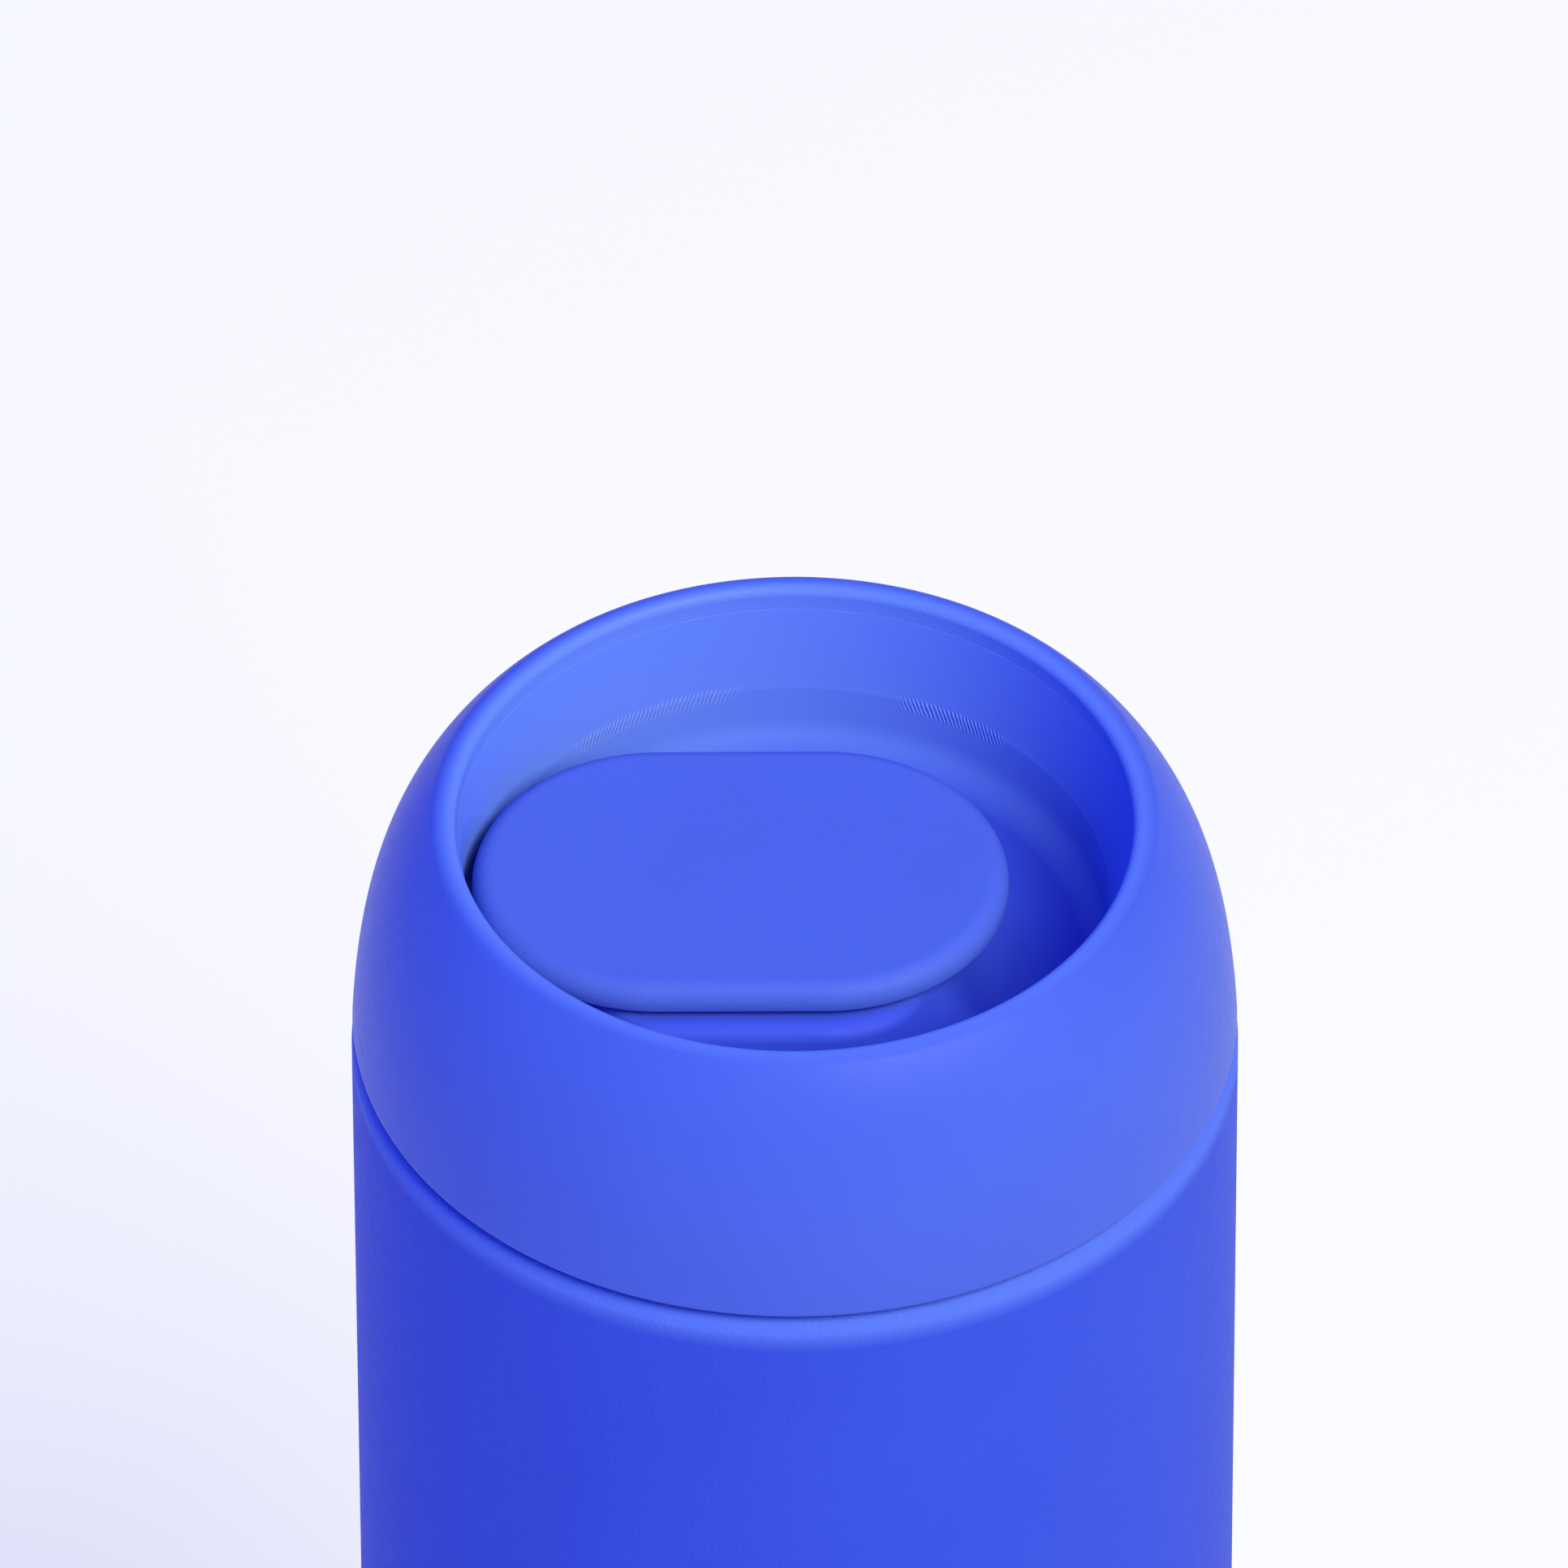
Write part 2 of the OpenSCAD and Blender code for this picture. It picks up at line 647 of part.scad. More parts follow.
// Threaded plug with the flange that closes the dome from below
module lid_core() color(charcoal) difference() {
    union() {
        rotate_extrude() polygon([
            [plug_r - plug_t, plug_z],
            [plug_r, plug_z],
            [plug_r, seam_z + groove_h],
            [groove_out_r, seam_z + groove_h],
            [groove_out_r, seam_z],
            [dome_inner[0][0] - fit, seam_z],
            [dome_inner[0][0] - fit, dome_inner[0][1]],
            [dome_inner_r(core_top_z - core_bevel) - fit, core_top_z - core_bevel],
            [dome_inner_r(core_top_z) - core_bevel, core_top_z],
            [plug_r - plug_t, core_top_z]
        ]);
        thread_ridge(plug_r, plug_r + thread_h, plug_thread_z);
        translate([0, 0, web_z]) cylinder(r = plug_r - plug_t / 2, h = web_t);
    }
    // spout tube, tail well and screws pass through the web
    translate([spout_x, 0, plug_z]) cylinder(r = spout_r + tube_t + fit, h = plug_h + dome_h);
    intersection() {
        block(
            [-body_r, -tail_tip_w - clear, web_z - cut],
            [well_edge_x + well_wall + clear, tail_tip_w + clear, core_top_z + cut]
        );
        translate([0, 0, web_z - cut]) cylinder(r = plug_r - plug_t, h = dome_h);
    }
    // notch in the flange, where the plug's wall comes close enough for the tail well to reach it
    block(
        [hinge_x - tail_room_r, -tail_room_w, min(tail_room_z, core_top_z + cut)],
        [well_edge_x + well_wall + clear, tail_room_w, core_top_z + 2 * cut]
    );
    core_screw_places() translate([0, 0, web_z - cut]) {
        cylinder(r = core_screw_hole_r, h = web_t + 2 * cut);
    }
}

// Disc that closes the plug's lower end, around the spout tube
module core_cap() color(charcoal) difference() {
    union() {
        translate([0, 0, plug_z]) cylinder(r = plug_r - plug_t - fit, h = cap_t);
        translate([spout_x, 0, plug_z]) cylinder(r = spout_r + tube_t + collar_w, h = cap_t + 2 * oring_r);
    }
    translate([spout_x, 0, plug_z - cut]) cylinder(r = spout_r + tube_t + fit, h = plug_h);
    translate([spout_x, 0, plug_z + cap_t]) cylinder(r = spout_r + tube_t + 2 * oring_r, h = plug_h);
}

// Insulating foam inside the plug
module foam_ring() color([0.93, 0.92, 0.88]) difference() {
    translate([0, 0, plug_z + cap_t + foam_gap]) {
        cylinder(r = plug_r - plug_t - foam_gap, h = foam_top_z - plug_z - cap_t - foam_gap);
    }
    translate([spout_x, 0, plug_z]) cylinder(r = spout_r + tube_t + collar_w + foam_gap, h = plug_h);
}

// Silicone ring between the spout tube and the plug's cap
module tube_oring() color(silicone) translate([spout_x, 0, plug_z + cap_t + oring_r]) {
    rotate_extrude() translate([spout_r + tube_t + oring_r, 0]) circle(r = oring_r - oring_gap, $fn = 32);
}

// The places of the screws that hold the dish to the plug
module core_screw_places() {
    for (a = core_screw_angles) rotate([0, 0, a]) translate([core_screw_ring_r, 0, 0]) children();
}

module core_screws() color(steel) core_screw_places() translate([0, 0, web_z - screw_head_h]) {
    cylinder(r = screw_head_r, h = screw_head_h);
    cylinder(r = screw_r, h = screw_head_h + core_screw_l - web_t - clear);
}

// Hinge block: two ears for the pin, room for the flap's barrel and a pocket for the detent spring
module hinge_block() color(cobalt) difference() {
    union() {
        block([well_edge_x, -block_half_w, shelf_z - block_h], [block_x, block_half_w, shelf_z]);
        for (side = [-1, 1]) {
            translate([hinge_x, side * (ear_y + ear_w / 2), hinge_z]) rotate([90, 0, 0]) {
                cylinder(r = barrel_r, h = ear_w, center = true);
            }
        }
    }
    block(
        [hinge_x - barrel_r - cut, -ear_y, hinge_z],
        [hinge_x + barrel_r + barrel_gap, ear_y, shelf_z + cut]
    );
    hinge_cylinder(barrel_r + barrel_gap, ear_y);
    block(
        [well_edge_x + block_end_t, -spring_half_w - clear, spring_floor_z],
        [block_x - block_end_t, spring_half_w + clear, hinge_z]
    );
    hinge_cylinder(pin_r + fit, body_r);
    hinge_screw_places() translate([0, 0, shelf_z - block_h - cut]) {
        cylinder(r = screw_r + fit, h = hinge_screw_grip + clear + cut);
    }
}

// The places of the screws that hold the hinge block from below
module hinge_screw_places() {
    for (side = [-1, 1]) translate([hinge_screw_x, side * hinge_screw_y, 0]) children();
}

module hinge_screws() color(steel) hinge_screw_places() translate([0, 0, hinge_screw_head_z]) {
    cylinder(r = screw_head_r, h = screw_head_h);
    cylinder(r = screw_r, h = hinge_screw_l);
}

module hinge_pin() color(steel) hinge_cylinder(pin_r, pin_half_l);

// Bowed leaf spring under the barrel's flats
module detent_spring() color(steel) {
    half_l = block_l / 2 - block_end_t - clear / 2;
    bow_r = (half_l * half_l + spring_rise * spring_rise) / (2 * spring_rise);
    half_a = asin(half_l / bow_r);
    centre = [(well_edge_x + block_x) / 2, spring_floor_z + spring_rise - bow_r];
    translate([0, spring_half_w, 0]) rotate([90, 0, 0]) linear_extrude(2 * spring_half_w) polygon(concat(
        arc(centre, bow_r, 90 + half_a, 90 - half_a, 10),
        arc(centre, bow_r + spring_t, 90 - half_a, 90 + half_a, 10)
    ));
}

// Flap ----------------------------------------------------------------------------------------

// The flap's section from its middle outwards
module flap_section() {
    polygon(concat(
        [
            [0, flap_bottom_z],
            [flap_half_w - flap_bevel, flap_bottom_z],
            [flap_half_w, flap_bottom_z + flap_bevel]
        ],
        arc([flap_half_w - flap_edge_r, flap_top_z - flap_edge_r], flap_edge_r, 0, 90),
        [[0, flap_top_z]]
    ));
}

// Smooth cover of the flap, hollow underneath for the frame
module flap_cover() color(cobalt) difference() {
    union() {
        for (side = [-1, 1]) {
            translate([side * flap_half_straight - flap_shift, 0, 0]) rotate_extrude() flap_section();
        }
        translate([-flap_half_straight - flap_shift, 0, 0]) rotate([90, 0, 90]) {
            linear_extrude(2 * flap_half_straight) {
                flap_section();
                mirror([1, 0]) flap_section();
            }
        }
    }
    flap_slab(flap_bottom_z - cut, frame_top_z, -flap_skirt_w);
}

// Frame inside the flap, with the hinge barrel and the stopper's post
module flap_frame() color(charcoal) difference() {
    union() {
        difference() {
            flap_slab(flap_bottom_z, frame_top_z, -flap_skirt_w - fit);
            for (side = [-1, 1]) {
                translate([0, side * (ear_y + ear_w / 2), 0]) block(
                    [hinge_x - barrel_r - ear_relief, -ear_w / 2 - clear, flap_bottom_z - cut],
                    [hinge_x + barrel_r + ear_relief, ear_w / 2 + clear, frame_top_z + cut]
                );
            }
        }
        hinge_cylinder(barrel_r, barrel_half_l);
        block(
            [hinge_x - barrel_neck, -barrel_half_l, hinge_z],
            [hinge_x + barrel_neck, barrel_half_l, flap_bottom_z + floor_lap]
        );
        stopper_post();
    }
    hinge_cylinder(pin_r + fit, body_r);
    // flats that the detent spring holds, shut and open
    for (a = [0, open_angle]) {
        translate([hinge_x, 0, hinge_z]) rotate([0, a, 0]) block(
            [-barrel_r / 2, -spring_half_w - clear, -barrel_r - cut],
            [barrel_r / 2, spring_half_w + clear, -barrel_r + barrel_flat]
        );
    }
}

// Post with a mushroom head, over which the stopper is pulled
module stopper_post() translate([spout_x, 0, seat_z + stopper_gap + stopper_floor]) {
    cylinder(r = post_head_r, h = post_head_h);
    cylinder(r = post_r, h = flap_bottom_z - seat_z - stopper_gap - stopper_floor + floor_lap);
}

// Silicone stopper
module stopper() color(silicone) difference() {
    low_z = seat_z + stopper_gap;
    flange_z = flap_bottom_z - stopper_flange;
    taper = seat_flare * (flange_z - low_z) / seat_depth;
    low_r = seat_low_r - stopper_gap;
    union() {
        translate([spout_x, 0, low_z]) {
            cylinder(r1 = low_r, r2 = low_r + taper, h = flange_z - low_z);
        }
        translate([spout_x, 0, flange_z]) cylinder(r = seat_top_r + stopper_flange_w, h = stopper_flange);
    }
    stopper_post();
}

outer_wall();
outer_base();
inner_wall();
inner_base();
getter_cup();
getter_tablet();
seal_bead();
foot_pad();
lid_gasket();
dome_shell();
dish();
lid_core();
core_cap();
foam_ring();
tube_oring();
core_screws();
hinge_block();
hinge_screws();
hinge_pin();
detent_spring();
flap_cover();
flap_frame();
stopper();
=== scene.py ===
import json
import math

import bpy
import bmesh
import numpy as np
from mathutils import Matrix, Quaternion, Vector


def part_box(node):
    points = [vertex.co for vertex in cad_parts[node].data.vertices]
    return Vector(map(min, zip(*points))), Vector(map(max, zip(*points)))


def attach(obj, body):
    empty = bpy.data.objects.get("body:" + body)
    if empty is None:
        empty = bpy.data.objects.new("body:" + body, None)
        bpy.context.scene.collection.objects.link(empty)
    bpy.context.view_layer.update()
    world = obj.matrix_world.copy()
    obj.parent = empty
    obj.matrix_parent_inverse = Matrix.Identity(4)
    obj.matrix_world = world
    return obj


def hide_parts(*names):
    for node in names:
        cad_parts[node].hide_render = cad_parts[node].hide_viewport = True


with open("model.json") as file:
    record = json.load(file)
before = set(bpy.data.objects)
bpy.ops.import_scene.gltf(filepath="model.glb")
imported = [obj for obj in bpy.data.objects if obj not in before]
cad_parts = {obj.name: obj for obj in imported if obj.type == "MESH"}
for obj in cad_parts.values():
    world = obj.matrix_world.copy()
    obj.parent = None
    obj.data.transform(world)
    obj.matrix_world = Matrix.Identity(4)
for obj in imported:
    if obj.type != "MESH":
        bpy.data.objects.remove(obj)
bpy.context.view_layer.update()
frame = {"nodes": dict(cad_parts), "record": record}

MM = 0.001

# The camera, which gives the photograph's 1932 by 1932 frame
VIEW_ELEVATION = 42.3            # degrees above the horizon
VIEW_ROLL = -0.2                 # degrees
VIEW_DISTANCE = 2.212            # metres from the target
VIEW_LENS = 617.0                # millimetres
SENSOR_WIDTH = 36.0              # millimetres
SEAM_CENTRE = Vector((0, 0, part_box("dome_shell")[0].z))
VIEW_TARGET = SEAM_CENTRE + MM * Vector((-0.82, 13.10, 13.80))

# The studio
LIGHT_TARGET = Vector((0, 0, 0.19))
WORLD_COLOUR = (0.075, 0.09, 1.0)
WORLD_STRENGTH = 0.84
LIGHTS = (                       # degrees, metres and watts
    dict(name="key", azimuth=38, elevation=48, distance=3.5, size=(2.0, 1.6), power=164,
         colour=(1, 0.99, 0.56)),
    dict(name="top", azimuth=10, elevation=82, distance=3, size=(1.6, 1.6), power=9,
         colour=(1, 1, 1)),
    dict(name="fill", azimuth=-75, elevation=25, distance=3, size=(1.6, 1.8), power=13,
         colour=(0.1, 0.3, 1.0)),
)
FLOOR_SIZE = 6.0                 # metres
FLOOR_COLOUR = (0.41, 0.41, 0.29)
FLOOR_COLOUR_DEEP = (0.4, 0.4, 0.28)
FLOOR_GLOW = (0.91, 0.91, 1)
FLOOR_GLOW_STRENGTH = 0.62
FLOOR_SCALE = 3                  # cells of the floor's pattern per metre

# Sizes of the CAD model, in millimetres
BODY_R = 36.5
BODY_H = 178.0
STEEL_T = 0.8
SHOULDER_R = 1.8
HEEL_R = 2.5
FOOT_PROUD = 1.0
RECESS_R = 32.0
LIP_R = 32.1
RIM_Z = 200.8
SEAM_Z = 178.6
DOME_R = 36.4
DOME_EDGE = 0.5
DOME_T = 1.8
DOME_LEAN = 3.2                  # degrees, of the dome's side at the seam
DOME_LOW_PULL = 9.4              # how far the curve's lower handle reaches
DOME_HIGH_PULL = 6.4             # how far the curve's upper handle reaches
RIM_TOP_R = 28.6
RIM_OUTER_R = 1.8
RIM_INNER_R = 0.9
RIM_LEAN = 42                    # degrees, where the dome's curve meets the rim
PARTING_R = 27.55
PARTING_Z = 198.8
TONGUE_W = 1.05                  # width of the dome's face at the parting line
CREASE_R = 25.6
CREASE_Z = 191.4
CREASE_W = 0.35
FLOOR_Z = 183.2
BOWL_R = 6.0
SHELF_Z = 192.2
SHELF_W = 1.75
FLAP_HALF_W = 15.1
FLAP_HALF_STRAIGHT = 6.9
FLAP_SHIFT = 4.4
FLAP_TOP = 195.1
FLAP_BOTTOM = 192.8
FLAP_EDGE_R = 1.7
FLAP_LOW_EDGE_R = 0.3
FLAP_SKIRT_W = 1.6
FRAME_TOP = 193.9
HINGE_X = -17.4
HINGE_Z = 191.0
HINGE_DROP = 4.1
HINGE_INSET = 9.0
TAIL_REACH = SHELF_Z - HINGE_Z + 0.4
TAIL_GAP = 0.4
TAIL_SIDE_GAP = 0.3
WELL_EDGE_X = -18.1
WELL_GAP = 0.9
HINGE_POCKET = ((-19.1, -10.75, 185.55), (-11.45, 10.75, 193.2))
SPOUT_X = 2.6
SPOUT_R = 7.0
TUBE_R = 8.5
SEAT_Z = 187.1
SEAT_LOW_R = 7.7
SEAT_TOP_R = 8.1
PLUG_Z = 165.5
SCOOP_X = 24.8
SCOOP_Z = 195.0
SCOOP_R = 13.0

# Shapes that only the visual pieces have, in millimetres
PARTING_BEVEL = 0.05             # the dome's edge at the parting line, upwards and outwards
PARTING_STEP = 0.02
PARTING_NICK = 0.04              # the dish's edge at the parting line
DOME_INNER_END = 1.6             # where the dome's inner line ends, outside the parting line
SPOUT_EDGE = 0.2                 # rounding at the spout's mouth
SPOUT_EDGE_MID = 0.06            # the middle of that rounding
SEAT_EDGE_R = 0.35               # rounding at the seat's mouth
SHELF_SOFT = 1.5                 # rounding of the shelf's edge
SHELF_CUT = 1.5                  # how far the narrowed shelf ends inside the flap's outline
NARROW_X = -11.5                 # where the shelf starts to narrow towards the hinge
NARROW_L = 6.0
EDGE_BLEND = 16.0                # blend between the shelf's edge and the scoop's rim
FLOOR_BLEND = 3.0                # blend between the pedestal and the dish's floor
CLIFF_SLOPE = 7.0                # fall of the pedestal's side
DROP = 14.0                      # depth that the side and the scoop level out at
SCOOP_LEAD = 0.8                 # how far the scoop starts inside its rim
SCOOP_SPAN = 5.6                 # length over which the scoop falls
SCOOP_CURVE = 1.5
SHARE_LEAD = 9.0                 # where the pedestal's side starts to give way to the scoop
SHARE_SPAN = 11.0
SWEEP = (178.5, 272)             # degrees around the hinge axis that the tail's space covers
BOWL_END = 82.4                  # degrees around the bowl's curve
WALL_START = 0.04                # share of the dish's wall that the soft crease takes
BACK = (                         # hidden back of the dish, from the parting line inwards
    (28.55, PARTING_Z), (28.55, 196.9), (28.9, 196.5), (28.9, 181.9), (26.6, 181.9), (26.6, 180.0),
)

# Columns and steps of the meshes
BODY_COLUMNS = 256
DOME_COLUMNS = 288
FLAP_COLUMNS = 320
DISH_COLUMNS = 420
DISH_SAMPLES = 150               # rings between the seat and the crease
FLOOR_STEPS = 319
SHARP_ANGLE = 32                 # degrees

# Colours
LID_BLUE = (0.067, 0.124, 0.595)
LID_BLUE_DEEP = (0.063, 0.117, 0.575)
SHELL_BLUE = (0.056, 0.108, 0.60)
SHELL_BLUE_DEEP = (0.052, 0.102, 0.58)
# painted light: a lighter blue on the rim's inner side and the dome's face at the parting line
RIM_INSIDE_PAINTED_LIGHT_BLUE = (0.122, 0.226, 0.76)
# painted shade: the dish is darker than its plastic in the moat and on the shelf
DISH_PAINTED_SHADE_BLUE = (0.041, 0.078, 0.63)
DISH_PAINTED_SHADE_BLUE_DEEP = (0.037, 0.072, 0.61)
# painted light: a lighter blue on the dish's wall above the crease
WALL_PAINTED_LIGHT_BLUE = (0.109, 0.204, 0.75)
# painted glint: the lighter blue of the comb marks
COMB_GLINT_BLUE = (0.35, 0.46, 0.95)
COAT_BLUE = (0.035, 0.075, 0.60)
COAT_BLUE_DEEP = (0.032, 0.070, 0.58)
# painted highlight: a lighter blue for the coat's shoulder, where the light from above reflects
COAT_SHOULDER_HIGHLIGHT_BLUE = (0.078, 0.148, 0.69)
CHARCOAL = (0.016, 0.016, 0.019)
CHARCOAL_DEEP = (0.012, 0.012, 0.014)
SEAL_GREY = (0.05, 0.055, 0.08)
SEAL_GREY_DEEP = (0.045, 0.05, 0.07)
FOAM_CREAM = (0.85, 0.83, 0.78)
FOAM_CREAM_DEEP = (0.78, 0.76, 0.7)
GETTER_GREY = (0.1, 0.1, 0.11)
GETTER_GREY_DEEP = (0.06, 0.06, 0.07)
BEAD_BROWN = (0.09, 0.06, 0.04)
BEAD_BROWN_DEEP = (0.07, 0.05, 0.03)
STEEL = (0.62, 0.62, 0.63)

# Patterns; the scales count cells per metre, the bumps are in metres
TONE_SCALE = 60
GLOSS_SCALE = 900
WAVER_SCALE = 400
STEEL_SCALE = 300
STEEL_STRETCH = 40
STEEL_DEPTH = 0.00001
STEEL_SHADE = 0.86                   # brightness of the darkest streaks
DISH_GRAIN = 6500
DISH_GRAIN_DEPTH = 0.000008
COMB_MARKS = ((47, 71), (99, 136))   # degrees around the axis, 90 being the far side; the two stretches of the crease where its highlight shows, which also hold the marks' painted glint
COMB_TEETH = 420.0                   # phase of the wave per radian around the axis
COMB_SLANT = 18.0                    # radians per metre of height
COMB_WAVER = 0.003                   # radians
COMB_Z = CREASE_Z - 0.2              # millimetres
COMB_DEPTH = 0.00003
COMB_HALF = (0.5, 0.8)               # millimetres from COMB_Z, between which the marks fade
COMB_FULL = 0.7                      # share of a mark's half length that is at full strength
# share of the painted glint's lighter blue on the comb marks
COMB_GLINT_TINT = 0.35
COMB_GLOSS = 0.15
WALL_FADE = (2.0, 0.4)               # millimetres inside the crease, where the wall's painted light gives way to the dish's painted shade


# Camera and light ----------------------------------------------------------------------------


def add_camera():
    elevation = math.radians(VIEW_ELEVATION)
    forward = Vector((0, math.cos(elevation), -math.sin(elevation)))
    data = bpy.data.cameras.new("camera")
    data.lens = VIEW_LENS
    data.sensor_width = SENSOR_WIDTH
    data.clip_start = 0.1
    data.clip_end = 20
    camera = bpy.data.objects.new("camera", data)
    camera.rotation_mode = "QUATERNION"
    camera.location = VIEW_TARGET - forward * VIEW_DISTANCE
    roll = Quaternion((0, 0, 1), math.radians(VIEW_ROLL))
    camera.rotation_quaternion = forward.to_track_quat("-Z", "Y") @ roll
    bpy.context.scene.collection.objects.link(camera)
    bpy.context.scene.camera = camera


def add_area_light(name, azimuth, elevation, distance, size, power, colour):
    """A softbox aimed at the lid. Azimuth 0 is the camera's side and 90 is to its right."""
    a = math.radians(azimuth)
    e = math.radians(elevation)
    direction = Vector((math.sin(a) * math.cos(e), -math.cos(a) * math.cos(e), math.sin(e)))
    data = bpy.data.lights.new(name, "AREA")
    data.shape = "RECTANGLE"
    data.size, data.size_y = size
    data.energy = power
    data.color = colour
    light = bpy.data.objects.new(name, data)
    light.location = LIGHT_TARGET + direction * distance
    light.rotation_mode = "QUATERNION"
    light.rotation_quaternion = (-direction).to_track_quat("-Z", "Y")
    bpy.context.scene.collection.objects.link(light)


def add_world():
    world = bpy.data.worlds.new("studio")
    world.use_nodes = True
    background = world.node_tree.nodes["Background"]
    background.inputs["Color"].default_value = (*WORLD_COLOUR, 1)
    background.inputs["Strength"].default_value = WORLD_STRENGTH
    bpy.context.scene.world = world


def add_floor():
    bpy.ops.mesh.primitive_plane_add(size=FLOOR_SIZE, location=(0, 0, 0))
    floor = bpy.context.object
    floor.name = "floor"
    m = Nodes("floor")
    m.link(m.mix(m.noise(FLOOR_SCALE), (*FLOOR_COLOUR_DEEP, 1), (*FLOOR_COLOUR, 1)), "Base Color")
    m.set("Emission Color", (*FLOOR_GLOW, 1))
    m.set("Emission Strength", FLOOR_GLOW_STRENGTH)
    m.set("Roughness", 0.9)
    m.set("Specular IOR Level", 0.1)
    floor.data.materials.append(m.material)


# Materials -----------------------------------------------------------------------------------


class Nodes:
    """A small helper that adds and links the nodes of one material."""

    def __init__(self, name):
        self.material = bpy.data.materials.new(name)
        self.material.use_nodes = True
        self.tree = self.material.node_tree
        self.shader = self.tree.nodes["Principled BSDF"]

    def add(self, kind, inputs=None, **settings):
        node = self.tree.nodes.new(kind)
        for key, value in settings.items():
            setattr(node, key, value)
        for key, value in (inputs or {}).items():
            if isinstance(value, bpy.types.NodeSocket):
                self.tree.links.new(value, node.inputs[key])
            else:
                node.inputs[key].default_value = value
        return node

    def link(self, socket, key):
        self.tree.links.new(socket, self.shader.inputs[key])

    def set(self, key, value):
        self.shader.inputs[key].default_value = value

    def place(self):
        return self.add("ShaderNodeTexCoord").outputs["Object"]

    def parts(self):
        return self.add("ShaderNodeSeparateXYZ", {0: self.place()}).outputs

    def noise(self, scale, detail=3, roughness=0.5):
        inputs = {"Vector": self.place(), "Scale": scale, "Detail": detail, "Roughness": roughness}
        return self.add("ShaderNodeTexNoise", inputs).outputs["Fac"]

    def span(self, value, low, high, start=0.3, end=0.7):
        """Maps start..end to low..high and holds the ends."""
        inputs = {"Value": value, "From Min": start, "From Max": end, "To Min": low, "To Max": high}
        return self.add("ShaderNodeMapRange", inputs).outputs["Result"]

    def math(self, operation, a, b=0.0):
        return self.add("ShaderNodeMath", {0: a, 1: b}, operation=operation).outputs[0]

    def radius(self, parts):
        """Distance from the bottle's axis."""
        squares = [self.math("POWER", parts[k], 2.0) for k in (0, 1)]
        return self.math("SQRT", self.math("ADD", *squares))

    def mix(self, factor, a, b):
        node = self.add("ShaderNodeMix", {0: factor, 6: a, 7: b}, data_type="RGBA")
        return node.outputs[2]

    def tone(self, colour, deep):
        """A slow change between two colours."""
        return self.mix(self.span(self.noise(TONE_SCALE, 2), 0, 1), (*deep, 1), (*colour, 1))

    def gloss(self, roughness, change):
        return self.span(self.noise(GLOSS_SCALE, 3), roughness - change, roughness + change)

    def bump(self, height, distance, normal=None):
        inputs = {"Height": height, "Distance": distance, "Strength": 1.0}
        if normal is not None:
            inputs["Normal"] = normal
        return self.add("ShaderNodeBump", inputs).outputs["Normal"]


def moulded(name, colour, deep, roughness, grain, depth, specular=0.5, fade=None):
    """Moulded or coated surface: fine grain in the bump, a slow change of tone and of gloss.

    A fade is a second colour, the coordinate that it follows, and where it starts and is complete.
    """
    m = Nodes(name)
    shade = m.tone(colour, deep)
    if fade:
        other, follows, start, end = fade
        parts = m.parts()
        along = m.radius(parts) if follows == "radius" else parts[2]
        shade = m.mix(m.span(along, 0.0, 1.0, start * MM, end * MM), shade, (*other, 1))
    m.link(shade, "Base Color")
    m.link(m.gloss(roughness, 0.03), "Roughness")
    m.link(m.bump(m.noise(grain, 4, 0.6), depth), "Normal")
    m.set("Specular IOR Level", specular)
    return m.material


def comb_marks(m, parts):
    """The wave of the comb marks, and how near a point is to them, from 0 to 1."""
    turn = m.math("ARCTAN2", parts[1], parts[0])
    waver = m.span(m.noise(WAVER_SCALE, 2), -COMB_WAVER, COMB_WAVER)
    lean = m.math("MULTIPLY", m.math("SIGN", parts[0]), -COMB_SLANT)
    slant = m.math("MULTIPLY", parts[2], lean)
    phase = m.math("ADD", m.math("ADD", turn, waver), slant)
    teeth = m.math("SINE", m.math("MULTIPLY", phase, COMB_TEETH))
    near = 0.0
    for start, end in COMB_MARKS:
        middle, half = math.radians((start + end) / 2), math.radians((end - start) / 2)
        away = m.math("ABSOLUTE", m.math("SUBTRACT", turn, middle))
        near = m.math("ADD", near, m.span(away, 1.0, 0.0, half * COMB_FULL, half))
    height = m.math("ABSOLUTE", m.math("SUBTRACT", parts[2], COMB_Z * MM))
    band = m.span(height, 1.0, 0.0, COMB_HALF[0] * MM, COMB_HALF[1] * MM)
    near = m.math("MULTIPLY", band, near)
    outer = m.span(m.radius(parts), 0.0, 1.0, (CREASE_R - WALL_FADE[1]) * MM, CREASE_R * MM)
    return teeth, m.math("MULTIPLY", near, outer)


